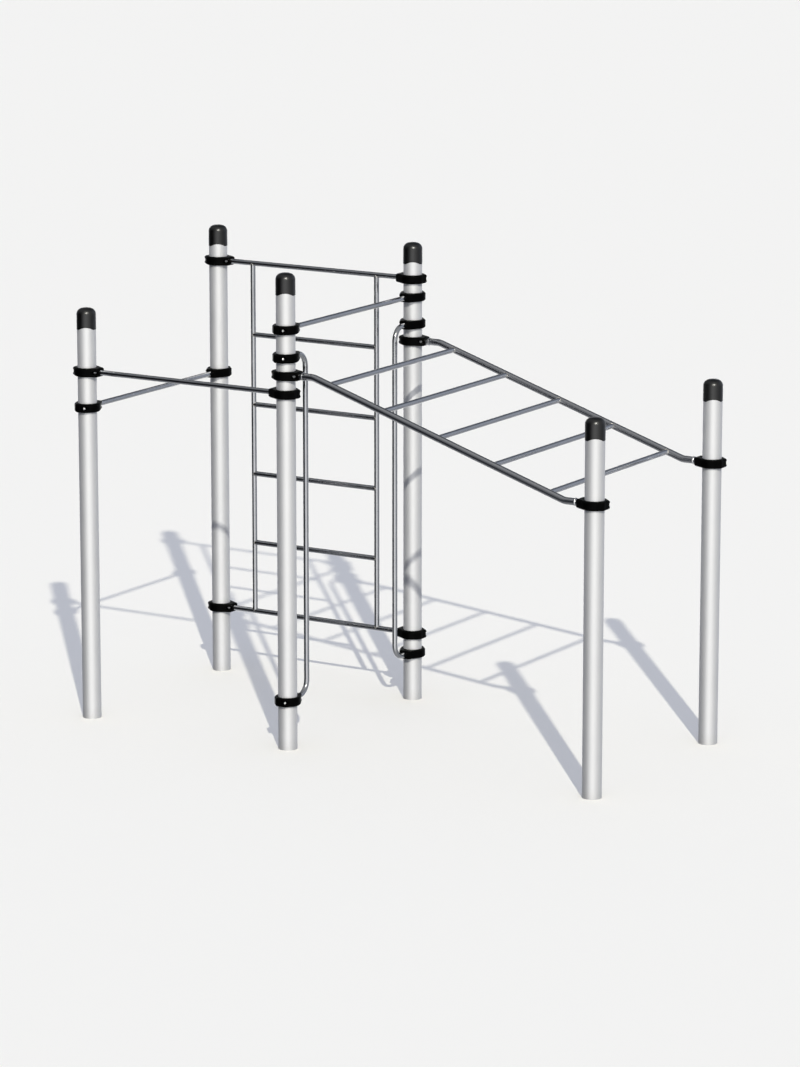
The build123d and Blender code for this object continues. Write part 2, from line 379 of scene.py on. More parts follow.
@dataclass(frozen=True)
class BarSteel(Finish):
    """Stainless steel tube, with long fine marks where it was ground along its run."""

    name: str = "bar_steel"
    colour: Colour = (0.56, 0.565, 0.58)
    cloud_colour: Colour = (0.51, 0.517, 0.535)
    clouds: Noise = (11.0, 4.0)
    sheen: Noise = (1.0, 3.0)
    roughness: Span = (0.15, 0.21)
    relief: Noise = (1.0, 3.0)
    relief_depth: float = 0.01 * MM
    run: Run = Run.ALONG_X
    marks_along: float = 6.0
    marks_across: float = 700.0

    def marked(self, deck: NodeDeck, place: Socket) -> Socket:
        """Place stretched along the run, so that a mark is long and narrow.

        Args:
            deck: Nodes of the material.
            place: Socket with the place on the tube.

        Returns:
            Socket with the place counted in marks.
        """
        turn_y, turn_z, _ = self.run.value
        across = 1 / self.marks_across
        mapping = deck.add("ShaderNodeMapping", vector_type="TEXTURE")
        mapping.inputs["Rotation"].default_value = (0.0, radians(turn_y), radians(turn_z))
        mapping.inputs["Scale"].default_value = (1 / self.marks_along, across, across)
        deck.feed(mapping.inputs["Vector"], place)
        return mapping.outputs["Vector"]


@dataclass(frozen=True)
class ScrewSteel(Finish):
    """Bright rolled stainless steel of the screws and collars, with small drawn marks."""

    name: str = "screw_steel"
    colour: Colour = (0.82, 0.82, 0.83)
    cloud_colour: Colour = (0.74, 0.74, 0.75)
    clouds: Noise = (1200.0, 3.0)
    sheen: Noise = (300.0, 2.0)
    roughness: Span = (0.26, 0.32)
    relief: Noise = (1200.0, 3.0)
    relief_depth: float = 0.01 * MM


@dataclass(frozen=True)
class WeldSteel(Finish):
    """Brushed-off weld metal with heat tint, a little warmer and rougher than the tubes."""

    name: str = "weld_steel"
    colour: Colour = (0.50, 0.49, 0.47)
    cloud_colour: Colour = (0.42, 0.39, 0.35)
    clouds: Noise = (160.0, 3.0)
    sheen: Noise = (500.0, 3.0)
    roughness: Span = (0.32, 0.5)


@dataclass
class Skin:
    """A surface held as arrays, before it becomes a mesh."""

    points: np.ndarray
    faces: list[list[int]]

    def moved(self, matrix: Matrix) -> "Skin":
        """The same surface, turned and shifted by a 4 by 4 matrix."""
        turn = np.array(matrix.to_3x3())
        return Skin(self.points @ turn.T + np.array(matrix.translation), self.faces)

    def mesh(self, name: str, crease: float | None = None) -> Mesh:
        """Makes the mesh, with its faces turned outwards.

        Args:
            name: Name of the mesh.
            crease: Angle in radians past which an edge stays sharp, or None for no sharp edge.

        Returns:
            The mesh, shaded smooth.
        """
        mesh = bpy.data.meshes.new(name)
        mesh.from_pydata(self.points.tolist(), [], self.faces)
        work = bmesh.new()
        work.from_mesh(mesh)
        bmesh.ops.recalc_face_normals(work, faces=work.faces)
        work.to_mesh(mesh)
        work.free()
        mesh.shade_smooth()
        if crease is not None:
            mesh.set_sharp_from_angle(angle=crease)
        return mesh


def lattice(points: np.ndarray, wrap_rows: bool, wrap_columns: bool) -> Skin:
    """Joins a grid of points by quads.

    The quad at row i and column j joins (i, j), (i, j+1), (i+1, j+1) and (i+1, j), where the
    indices start again at 0 in the directions that wrap.

    Args:
        points: Array of rows by columns by 3.
        wrap_rows: Whether the last row joins the first.
        wrap_columns: Whether the last column joins the first.

    Returns:
        The skin, open where it doesn't wrap.
    """
    rows, columns = points.shape[:2]
    index = np.arange(rows * columns).reshape(rows, columns)
    if wrap_rows:
        index = np.vstack([index, index[:1]])
    if wrap_columns:
        index = np.hstack([index, index[:, :1]])
    corners = (index[:-1, :-1], index[:-1, 1:], index[1:, 1:], index[1:, :-1])
    return Skin(points.reshape(-1, 3), np.stack(corners, axis=-1).reshape(-1, 4).tolist())


def joined(skins: list[Skin]) -> Skin:
    """Puts several skins into one.

    Args:
        skins: The skins, which keep their order.

    Returns:
        One skin, with the faces renumbered.
    """
    starts = np.cumsum([0] + [len(skin.points) for skin in skins])
    faces = []
    for skin, start in zip(skins, starts):
        faces += [[start + corner for corner in face] for face in skin.faces]
    return Skin(np.vstack([skin.points for skin in skins]), faces)


def round_steps(steps: int) -> np.ndarray:
    """Angles of the steps of a full turn, in radians."""
    return np.linspace(0, 2 * pi, steps, endpoint=False)


def rings(radius: np.ndarray, height: np.ndarray, steps: int) -> np.ndarray:
    """Points (r cos a, r sin a, z) of rings about the Z axis, at even angles a.

    Args:
        radius: Radii r, one row to a ring, with one column or one to a step.
        height: Heights z, in the same form.
        steps: Number of steps in a full turn.

    Returns:
        Array of rings by steps by 3.
    """
    angle = round_steps(steps)
    return np.stack(
        [radius * np.cos(angle), radius * np.sin(angle), height * np.ones_like(angle)], axis=-1
    )


def turned_skin(
    profile: np.ndarray, steps: int, factors: np.ndarray | float = 1, lift: np.ndarray | float = 0
) -> Skin:
    """Turns a profile about the Z axis and closes it with a pole at each end.

    Args:
        profile: Array of (radius, height), whose first and last radius are 0.
        steps: Number of steps in a full turn.
        factors: Factors for the radii, one row to a profile point and one column to a step.
        lift: Additions to the heights, in the same rows and columns.

    Returns:
        A closed skin.
    """
    blank = np.ones((len(profile), steps))
    radius = (profile[:, :1] * factors * blank)[1:-1]
    height = (profile[:, 1:] * blank + lift)[1:-1]
    skin = lattice(rings(radius, height, steps), False, True)
    first, last = len(skin.points), len(skin.points) + 1
    poles = np.array([[0.0, 0.0, profile[0, 1]], [0.0, 0.0, profile[-1, 1]]])
    low_ring = np.arange(steps)
    high_ring = low_ring + (len(profile) - 3) * steps
    low_fan = np.stack([np.full(steps, first), np.roll(low_ring, -1), low_ring], axis=-1)
    high_fan = np.stack([np.full(steps, last), high_ring, np.roll(high_ring, -1)], axis=-1)
    fans = low_fan.tolist() + high_fan.tolist()
    return Skin(np.vstack([skin.points, poles]), skin.faces + fans)


def eased(corners: np.ndarray, radius: float, steps: int) -> np.ndarray:
    """Eases the inner corners of a flat line.

    Each corner becomes a parabola from the point that lies radius before it to the point that
    lies radius after it: (1-s)^2 start + 2s(1-s) corner + s^2 end.

    Args:
        corners: Array of points, two numbers each.
        radius: How far from a corner its easing starts.
        steps: Number of points on each parabola.

    Returns:
        The line, with its two ends kept.
    """
    middle = corners[1:-1]
    before, after = corners[:-2] - middle, corners[2:] - middle
    start = (middle + radius * before / np.linalg.norm(before, axis=1, keepdims=True))[:, None]
    end = (middle + radius * after / np.linalg.norm(after, axis=1, keepdims=True))[:, None]
    s = np.linspace(0, 1, steps)[None, :, None]
    curves = (1 - s) ** 2 * start + 2 * s * (1 - s) * middle[:, None] + s**2 * end
    return np.vstack([corners[:1], curves.reshape(-1, 2), corners[-1:]])


def arc(
    centre: tuple[float, float], radius: float, start: float, end: float, steps: int
) -> np.ndarray:
    """Points (x + r cos a, y + r sin a) for an angle a that runs evenly from start to end.

    Args:
        centre: Centre of the arc.
        radius: Its radius.
        start: First angle in radians.
        end: Last angle in radians.
        steps: Number of points.

    Returns:
        Array of points, two numbers each.
    """
    angle = np.linspace(start, end, steps)
    return np.array(centre) + radius * np.stack([np.cos(angle), np.sin(angle)], axis=-1)


def stand(name: str, data: bpy.types.ID) -> bpy.types.Object:
    """Puts a mesh, lamp or camera into the scene.

    Args:
        name: Name of the object.
        data: The mesh, lamp or camera.

    Returns:
        The new object.
    """
    thing = bpy.data.objects.new(name, data)
    bpy.context.collection.objects.link(thing)
    return thing


def add_piece(name: str, mesh: Mesh, finish: Material) -> bpy.types.Object:
    """Puts a mesh into the station as a piece with its finish.

    Args:
        name: Name of the piece.
        mesh: Its mesh, already in place.
        finish: Its material.

    Returns:
        The new object.
    """
    piece = stand(name, mesh)
    mesh.materials.clear()
    mesh.materials.append(finish)
    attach(piece, BODY)
    log.info("made %s with %d faces", name, len(mesh.polygons))
    return piece


def dress(node: str, finish: Material) -> None:
    """Gives a piece of the frame its material.

    Args:
        node: Name of the frame's node.
        finish: Its material.
    """
    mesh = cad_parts[node].data
    mesh.materials.clear()
    mesh.materials.append(finish)
    log.info("dressed %s with %s", node, finish.name)


def nodes_named(*starts: str) -> list[str]:
    """Names of the frame's nodes that start with any of the given words, in order."""
    return sorted(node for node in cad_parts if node.startswith(starts))


def middle_of(node: str) -> Vector:
    """Middle of the box of one of the frame's nodes."""
    low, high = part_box(node)
    return (low + high) / 2


@dataclass
class Posts:
    """The six painted tubes, kept as the frame has them."""

    places: tuple[str, ...] = (
        "front_left",
        "back_left",
        "front_middle",
        "back_middle",
        "front_right",
        "back_right",
    )

    def centre(self, place: str) -> Vector:
        """Foot of the axis of the post at a place."""
        low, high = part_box(f"post_{place}")
        return Vector(((low.x + high.x) / 2, (low.y + high.y) / 2, low.z))

    def build(self, finish: Material) -> None:
        """Paints every post."""
        for place in self.places:
            dress(f"post_{place}", finish)


@dataclass
class Caps:
    """Moulded caps: a sleeve with an arched lower rim, a round shoulder and a shallow dome."""

    posts: Posts
    wall: float = 1.1 * MM
    shoulder: float = 35 * MM
    shoulder_turn: float = radians(75)
    draft: float = 0.4 * MM
    seat_drop: float = 20 * MM
    arch_height: float = 14 * MM
    arch_width: float = 82 * MM
    arch_turn: float = radians(31.3)
    crease: float = radians(50)
    steps: int = 180
    lip_steps: int = 7
    inner_steps: int = 8
    side_steps: int = 16
    shoulder_steps: int = 24
    dome_steps: int = 14

    def arch(self, radius: float) -> np.ndarray:
        """Height of the lower rim at each angle round the cap.

        Seen along the arch's heading the rim follows a circle through both feet and the crown
        of the arch, so at the distance s from its middle it is h - R + sqrt(R^2 - s^2) high.
        The cap's far side has the same arch.

        Args:
            radius: Radius of the sleeve.

        Returns:
            Array of heights, one for each step.
        """
        across = radius * np.cos(round_steps(self.steps) - self.arch_turn)
        height = self.arch_height
        arch_radius = (self.arch_width**2 / 4 + height**2) / (2 * height)
        rise = height - arch_radius + np.sqrt(np.maximum(arch_radius**2 - across**2, 0))
        return np.maximum(rise, 0)

    def skin(self, radius: float, height: float) -> Skin:
        """A whole cap above its lower rim.

        The shoulder is an arc that turns from upright through shoulder_turn. The dome is the arc
        that goes on from there to the axis, so its radius is the shoulder's end divided by the
        cosine of that turn. The rows of the sleeve are raised by the arch, by less the higher
        they lie.

        Args:
            radius: Radius of the sleeve at its rim.
            height: Height from the rim to the top.

        Returns:
            A closed skin.
        """
        wall, bend, turn = self.wall, self.shoulder, self.shoulder_turn
        skirt = radius - self.draft
        dome_radius = (skirt - bend + bend * cos(turn)) / cos(turn)
        shoulder_foot = height - dome_radius * (1 - sin(turn)) - bend * sin(turn)
        seat = shoulder_foot - self.seat_drop
        inner_rise = np.linspace(seat, wall, self.inner_steps)
        inner = np.column_stack([np.full(self.inner_steps, radius - wall), inner_rise])
        lip = arc((radius - wall / 2, wall / 2), wall / 2, -pi, 0, self.lip_steps)
        side = np.linspace((radius, wall), (skirt, shoulder_foot), self.side_steps)
        shoulder = arc((skirt - bend, shoulder_foot), bend, 0, turn, self.shoulder_steps)[1:]
        dome = arc((0, height - dome_radius), dome_radius, turn, pi / 2, self.dome_steps)[1:-1]
        profile = np.vstack([[(0, seat)], inner, lip, side, shoulder, dome, [(0, height)]])
        share = np.clip(1 - profile[:, 1:] / seat, 0, 1)
        share[0] = 0
        return turned_skin(profile, self.steps, lift=share * self.arch(radius))

    def build(self, finish: Material) -> None:
        """Makes a cap for each post in the place of the frame's own.

        Args:
            finish: The plastic.
        """
        for place in self.posts.places:
            node = f"cap_{place}"
            low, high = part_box(node)
            skin = self.skin((high.x - low.x) / 2, high.z - low.z)
            axis = self.posts.centre(place)
            seat = Matrix.Translation((axis.x, axis.y, low.z))
            mesh = skin.moved(seat).mesh(node, self.crease)
            piece = add_piece(f"{node}_moulded", mesh, finish)
            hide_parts(node)


@dataclass
class Clamps:
    """Two-part cast clamps with bevelled rims, a bore for the bar and pockets for the screws."""

    posts: Posts
    post_bore: float = 54.3 * MM
    nose_half: float = 33 * MM
    tail_half: float = 30 * MM
    split_half: float = 1.5 * MM
    rim_bevel: float = 7 * MM
    rim_ease: float = 1.6 * MM
    corner: float = 2 * MM
    least_corner: float = 0.25 * MM
    edge: float = 1.0 * MM
    bar_fit: float = 0.3 * MM
    mouth_flare: float = 1.2 * MM
    cut_overrun: float = 6 * MM
    pocket_half: float = 10 * MM
    pocket_wall: float = 5 * MM
    tail_pocket_depth: float = 5.5 * MM
    nose_screw_setback: float = 25 * MM
    tail_screw_setback: float = 10.5 * MM
    crease: float = radians(32)
    flank_steps: int = 61
    corner_steps: int = 7
    ease_steps: int = 5
    bore_steps: int = 64
    pocket_steps: int = 33

    def __post_init__(self) -> None:
        """Reads reach, body radius and height from a clamp of the frame that points along X."""
        low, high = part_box("clamp_front_left_pull_up_bar")
        axis = self.posts.centre("front_left")
        self.nose_reach = high.x - axis.x
        self.tail_reach = axis.x - low.x
        self.body_radius = (high.y - low.y) / 2
        self.half_height = (high.z - low.z) / 2

    def flank_turn(self, reach: float, half: float) -> float:
        """Angle of the normal of the flank that runs from an end corner to touch the body."""
        return atan2(half, reach) + acos(self.body_radius / hypot(reach, half))

    def outline(self, inset: float) -> np.ndarray:
        """Left half of the outline seen from above, from nose end to tail end.

        A flank with its normal at the angle t is the line x cos t + y sin t = R - inset, which
        touches the body. The fillet of a corner lies about the point that is its radius away
        from the end line and from the flank.

        Args:
            inset: How far inside the full outline the line runs.

        Returns:
            Array of (x, y), always with as many points.
        """
        radius = self.body_radius - inset
        fillet = max(self.corner - inset, self.least_corner)
        nose_x = self.nose_reach - inset
        tail_x = inset - self.tail_reach
        nose_turn = self.flank_turn(self.nose_reach, self.nose_half)
        tail_turn = pi - self.flank_turn(self.tail_reach, self.tail_half)

        def rounded(x: float, turn: float, start: float, end: float) -> np.ndarray:
            """Fillet whose centre is x along the bar, against the flank with the given turn."""
            centre = (x, (radius - fillet - x * cos(turn)) / sin(turn))
            return arc(centre, fillet, start, end, self.corner_steps)

        nose_corner = rounded(nose_x - fillet, nose_turn, 0, nose_turn)
        body = arc((0, 0), radius, nose_turn, tail_turn, self.flank_steps)
        tail_corner = rounded(tail_x + fillet, tail_turn, tail_turn, pi)
        nose_end = [(nose_x, self.split_half)]
        tail_end = [(tail_x, self.split_half)]
        return np.vstack([nose_end, nose_corner, body, tail_corner, tail_end])

    def bore_line(self, radius: float) -> np.ndarray:
        """Half circle of the post's bore, point for point with the outline.

        The angle of each point follows that of the outline's point, stretched so that both ends
        lie on the split face.

        Args:
            radius: Radius of the half circle.

        Returns:
            Array of (x, y).
        """
        outline = self.outline(0)
        angle = np.arctan2(outline[:, 1], outline[:, 0])
        share = (angle - angle[0]) / (angle[-1] - angle[0])
        first = np.arcsin(self.split_half / radius)
        angle = first + share * (pi - 2 * first)
        return radius * np.stack([np.cos(angle), np.sin(angle)], axis=-1)

    def half(self, side: int) -> Skin:
        """One half of the clamp, solid.

        Rows go round the section, which is bevelled and eased at the outer rims, and columns go
        from the nose end to the tail end. Each split face is set in by the edge width at its rim
        and closed by one flat face.

        Args:
            side: 1 for the half on the left of the bar, -1 for that on its right.

        Returns:
            A closed skin in clamp axes.
        """
        top, bevel, edge = self.half_height, self.rim_bevel, self.edge
        upper = np.array([(2 * bevel, top), (bevel, top), (0, top - bevel), (0, 0)])
        upper = eased(upper, self.rim_ease, self.ease_steps)[1:]
        rim = np.vstack([upper, (upper * (1, -1))[-2::-1]])
        lines = [(self.bore_line(self.post_bore), top - edge)]
        lines += [(self.bore_line(self.post_bore + edge), top)]
        lines += [(self.outline(inset), z) for inset, z in rim]
        rows = [np.column_stack([line, np.full(len(line), z)]) for line, z in lines]
        rows += [row * (1, 1, -1) for row in rows[1::-1]]
        grid = self.with_eased_ends(np.array(rows))
        skin = lattice(grid, True, False)
        starts = np.arange(len(grid)) * grid.shape[1]
        skin.faces += [starts.tolist(), (starts + grid.shape[1] - 1).tolist()]
        return Skin(skin.points * (1, side, 1), skin.faces)

    def with_eased_ends(self, grid: np.ndarray) -> np.ndarray:
        """Adds a small bevel round each split face.

        The end section moves back by the edge width, and a copy of it that is drawn in by as
        much, along the bisector of each point's two neighbours, stays on the face.

        Args:
            grid: Rows round the section by columns along the clamp by 3.

        Returns:
            The grid with one more column at each end.
        """
        ends = []
        for column in (0, -1):
            section = grid[:, column][:, (0, 2)]
            along = np.roll(section, -1, axis=0) - np.roll(section, 1, axis=0)
            normal = np.stack([-along[:, 1], along[:, 0]], axis=-1)
            normal /= np.linalg.norm(normal, axis=1, keepdims=True)
            to_centre = section.mean(axis=0) - section
            inward = np.sign((to_centre * normal).sum(axis=1, keepdims=True))
            drawn = section + self.edge * normal * inward
            ends.append(np.column_stack([drawn[:, 0], grid[:, column, 1], drawn[:, 1]]))
        grid = grid.copy()
        grid[:, (0, -1), 1] += self.edge
        return np.concatenate([ends[0][:, None], grid, ends[1][:, None]], axis=1)

    def bar_cutter(self, bar_radius: float) -> Skin:
        """Round cutter for the bar, along the nose, that flares at the mouth.

        Args:
            bar_radius: Radius of the bar.

        Returns:
            A closed skin.
        """
        bore = bar_radius + self.bar_fit
        start = self.post_bore / 2
        mouth = self.nose_reach - self.mouth_flare
        flare = self.mouth_flare + self.cut_overrun
        end = mouth + flare
        profile = [(0, start), (bore, start), (bore, mouth), (bore + flare, end), (0, end)]
        upright = turned_skin(np.array(profile), self.bore_steps)
        return upright.moved(Matrix.Rotation(pi / 2, 4, "Y"))

    def pocket_cutter(self, screw_x: float, floor: float) -> Skin:
        """Cutter for a screw pocket: a slot with one round end that is open at the clamp's end.

        The slot's outline is a half circle about the screw and two straight sides. It runs from
        the pocket's floor out past the clamp's right side.

        Args:
            screw_x: Place of the screw along the bar.
            floor: Distance of the pocket's floor from the split.

        Returns:
            A closed skin.
        """
        way = 1 if screw_x > 0 else -1
        half = self.pocket_half
        reach = way * (self.nose_reach + self.body_radius)
        half_round = arc((0, 0), half, pi / 2, 3 * pi / 2, self.pocket_steps)
        loop = np.vstack([half_round * (way, 1) + (screw_x, 0), [(reach, -half), (reach, half)]])
        count = len(loop)
        levels = (-floor, -2 * self.body_radius)
        grid = [np.column_stack([loop[:, 0], np.full(count, y), loop[:, 1]]) for y in levels]
        skin = lattice(np.array(grid), False, True)
        skin.faces += [list(range(count)), list(range(count, 2 * count))]
        return skin

    def screw_places(self, bar_radius: float) -> list[tuple[float, float]]:
        """Place along the bar and pocket floor of the nose screw and the tail screw.

        Args:
            bar_radius: Radius of the bar.

        Returns:
            Two pairs of numbers.
        """
        nose = (self.nose_reach - self.nose_screw_setback, bar_radius + self.pocket_wall)
        tail = (self.tail_screw_setback - self.tail_reach, self.tail_half - self.tail_pocket_depth)
        return [nose, tail]

    def master(self, bar_radius: float) -> Mesh:
        """Cuts both halves for a bar and joins them in one mesh in clamp axes.

        Args:
            bar_radius: Radius of the bar.

        Returns:
            The mesh of a whole clamp.
        """
        bar = self.bar_cutter(bar_radius)
        pockets = [self.pocket_cutter(x, floor) for x, floor in self.screw_places(bar_radius)]
        halves = [carved(self.half(1), [bar]), carved(self.half(-1), [bar, *pockets])]
        return joined(halves).mesh("clamp_master")

    def nodes_on(self, place: str) -> list[str]:
        """Names of the frame's clamps on the post at a place, from the highest down."""
        return sorted(nodes_named(f"clamp_{place}"), key=lambda node: -middle_of(node).z)

    def build(self, finish: Material, screw_finish: Material) -> None:
        """Makes every clamp and its screws in the place of the frame's own.

        Args:
            finish: Coat of the castings.
            screw_finish: Steel of the screws.
        """
        radii = {False: Bars.bar_radius(), True: Bars.rail_radius()}
        masters = {is_rail: self.master(radius) for is_rail, radius in radii.items()}
        screw = Screw().skin()
        screws = []
        for place in self.posts.places:
            axis = self.posts.centre(place)
            for node in self.nodes_on(place):
                low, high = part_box(node)
                middle = Vector((axis.x, axis.y, (low.z + high.z) / 2))
                seat = Heading.of_box(low, high, middle).frame_at(middle)
                is_rail = node.endswith("ladder")
                mesh = masters[is_rail].copy()
                mesh.transform(seat)
                mesh.shade_smooth()
                mesh.set_sharp_from_angle(angle=self.crease)
                piece = add_piece(f"{node}_cast", mesh, finish)
                piece.modifiers.new("flat_faces", "WEIGHTED_NORMAL").keep_sharp = True
                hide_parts(node)
                for screw_x, floor in self.screw_places(radii[is_rail]):
                    facing = Matrix.Rotation(pi / 2, 4, "X")
                    inside = Matrix.Translation((screw_x, -floor, 0)) @ facing
                    screws.append(screw.moved(seat @ inside))
        mesh = joined(screws).mesh("clamp_screws", self.crease)
        piece = add_piece("clamp_screws_turned", mesh, screw_finish)
        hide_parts("clamp_screws")


@dataclass
class Screw:
    """Socket screw with a coned head on a thin washer, in axes with z out of the pocket."""

    head_radius: float = 8 * MM
    head_height: float = 5 * MM
    washer_radius: float = 9.2 * MM
    washer_height: float = 1.0 * MM
    shank_radius: float = 5 * MM
    shank_length: float = 30 * MM
    flank_foot_turn: float = radians(64)
    flank_top_turn: float = radians(53)
    flank_steps: int = 8
    socket_half: float = 3 * MM
    socket_depth: float = 2.6 * MM
    lead: float = 0.4 * MM
    nick: float = 0.1 * MM
    steps: int = 48

    def skin(self) -> Skin:
        """The whole screw.

        The head's flank is a slack arc, on which the normal turns from flank_foot_turn to
        flank_top_turn off the axis, so its radius is the head's height divided by the difference
        of their cosines. The socket's rows follow a hexagon, whose radius at the angle a is its
        half width divided by the cosine of a, taken within 30 degrees of the nearest flat.

        Returns:
            A closed skin.
        """
        washer, lift, top = self.washer_radius, self.washer_height, self.head_height
        shank, lead, nick, half = self.shank_radius, self.lead, self.nick, self.socket_half
        foot, end = pi / 2 - self.flank_foot_turn, pi / 2 - self.flank_top_turn
        bow = (top - lift) / (sin(end) - sin(foot))
        middle = (self.head_radius - bow * cos(foot), lift - bow * sin(foot))
        body = [(0, -self.shank_length), (shank, -self.shank_length), (shank, 0)]
        body += [(washer - lead, 0), (washer, lead), (washer, lift - nick), (washer - nick, lift)]
        flank = arc(middle, bow, foot, end, self.flank_steps)
        face = [(flank[-1, 0] - lead, top + nick), (half / cos(pi / 6) + lead, top + nick)]
        floor = top - self.socket_depth
        socket = [(half, top - lead), (half, floor), (0, floor - lead)]
        profile = np.vstack([body, flank, face, socket])
        hexagon = 1 / np.cos((round_steps(self.steps) + pi / 6) % (pi / 3) - pi / 6)
        factors = np.ones((len(profile), self.steps))
        factors[-len(socket):] = hexagon
        return turned_skin(profile, self.steps, factors)


@dataclass
class Collars:
    """Bright turned collars on the ladder's rails, one a little before each ladder clamp."""

    posts: Posts
    proud: float = 2.4 * MM
    fit: float = 0.15 * MM
    gap: float = 14 * MM
    band: float = 3.5 * MM
    edge: float = 0.2 * MM
    flank_foot_turn: float = radians(64)
    flank_end_turn: float = radians(53)
    flank_steps: int = 8
    crease: float = radians(28)
    steps: int = 96

    def skin(self, rail_radius: float) -> Skin:
        """One collar, in axes with z towards the clamp and 0 at its far end.

        The section has an eased outer rim, a plain band and a flank whose normal turns from
        flank_foot_turn to flank_end_turn off the axis, on an arc whose radius is the collar's
        rise divided by the difference of the sines of those turns.

        Args:
            rail_radius: Radius of the rail.

        Returns:
            A closed ring.
        """
        bore, outer, edge = rail_radius + self.fit, rail_radius + self.proud, self.edge
        foot, end = pi / 2 - self.flank_foot_turn, pi / 2 - self.flank_end_turn
        bow = (self.proud - self.fit - edge) / (cos(foot) - cos(end))
        middle = (outer - bow * cos(foot), self.band - bow * sin(foot))
        flank = arc(middle, bow, foot, end, self.flank_steps)
        near = flank[-1, 1] + edge / 2
        rim = [(bore, 0), (outer - edge, 0), (outer, edge)]
        profile = np.vstack([rim, flank, [(flank[-1, 0] - edge / 2, near), (bore, near)]])
        return lattice(rings(profile[:, :1], profile[:, 1:], self.steps), True, True)

    def build(self, finish: Material) -> None:
        """Slides a collar up to each ladder clamp.

        Args:
            finish: Bright steel.
        """
        ring = self.skin(Bars.rail_radius())
        stand_off = self.gap + ring.points[:, 2].max()
        collars = []
        for place in self.posts.places:
            for node in nodes_named(f"clamp_{place}_ladder"):
                low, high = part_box(node)
                heading = Heading.of_box(low, high, self.posts.centre(place))
                way = Vector(heading.value)
                nose = high.x if heading is Heading.TO_RIGHT else low.x
                start = Vector((nose, (low.y + high.y) / 2, (low.z + high.z) / 2))
                turn = (-way).to_track_quat("Z", "Y").to_matrix().to_4x4()
                seat = Matrix.Translation(start + way * stand_off) @ turn
                collars.append(ring.moved(seat))
        mesh = joined(collars).mesh("ladder_rail_collars", self.crease)
        add_piece("ladder_rail_collars", mesh, finish)


def carved(block: Skin, cutters: list[Skin]) -> Skin:
    """Cuts shapes out of a block.

    Args:
        block: Closed skin that is cut.
        cutters: Closed skins that are taken away from it.

    Returns:
        The closed skin that is left.
    """
    target = stand("block", block.mesh("block"))
    tools = [stand("cutter", cutter.mesh("cutter")) for cutter in cutters]
    for tool in tools:
        cut = target.modifiers.new("cut", "BOOLEAN")
        cut.operation = "DIFFERENCE"
        cut.solver = "EXACT"
        cut.object = tool
    bpy.context.view_layer.update()
    ready = target.evaluated_get(bpy.context.evaluated_depsgraph_get())
    result = bpy.data.meshes.new_from_object(ready)
    points = np.zeros(len(result.vertices) * 3)
    result.vertices.foreach_get("co", points)
    left = Skin(points.reshape(-1, 3), [list(face.vertices) for face in result.polygons])
    for used in [target, *tools]:
        bpy.data.meshes.remove(used.data)
    bpy.data.meshes.remove(result)
    return left


@dataclass
class Bars:
    """Straight bars, climbing wall, grip poles and ladder, kept as the frame has them."""

    @staticmethod
    def bar_radius() -> float:
        """Radius of the straight bars."""
        low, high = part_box("pull_up_bar")
        return (high.z - low.z) / 2

    @staticmethod
    def rail_radius() -> float:
        """Radius of the ladder's rails."""
        low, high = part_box("ladder_front_rail")
        return (high.y - low.y) / 2

    def build(self) -> None:
        """Gives each tube a steel whose marks follow its run."""
        for run in Run:
            steel = BarSteel(name=f"bar_steel_{run.name.lower()}", run=run).make()
            for node in nodes_named(*run.value[-1]):
                dress(node, steel)


@dataclass(frozen=True)
class Joint:
    """Place where one tube butts against the side of another."""

    centre: Vector
    run: Vector
    carrier_axis: Vector
    tube_radius: float
    carrier_radius: float


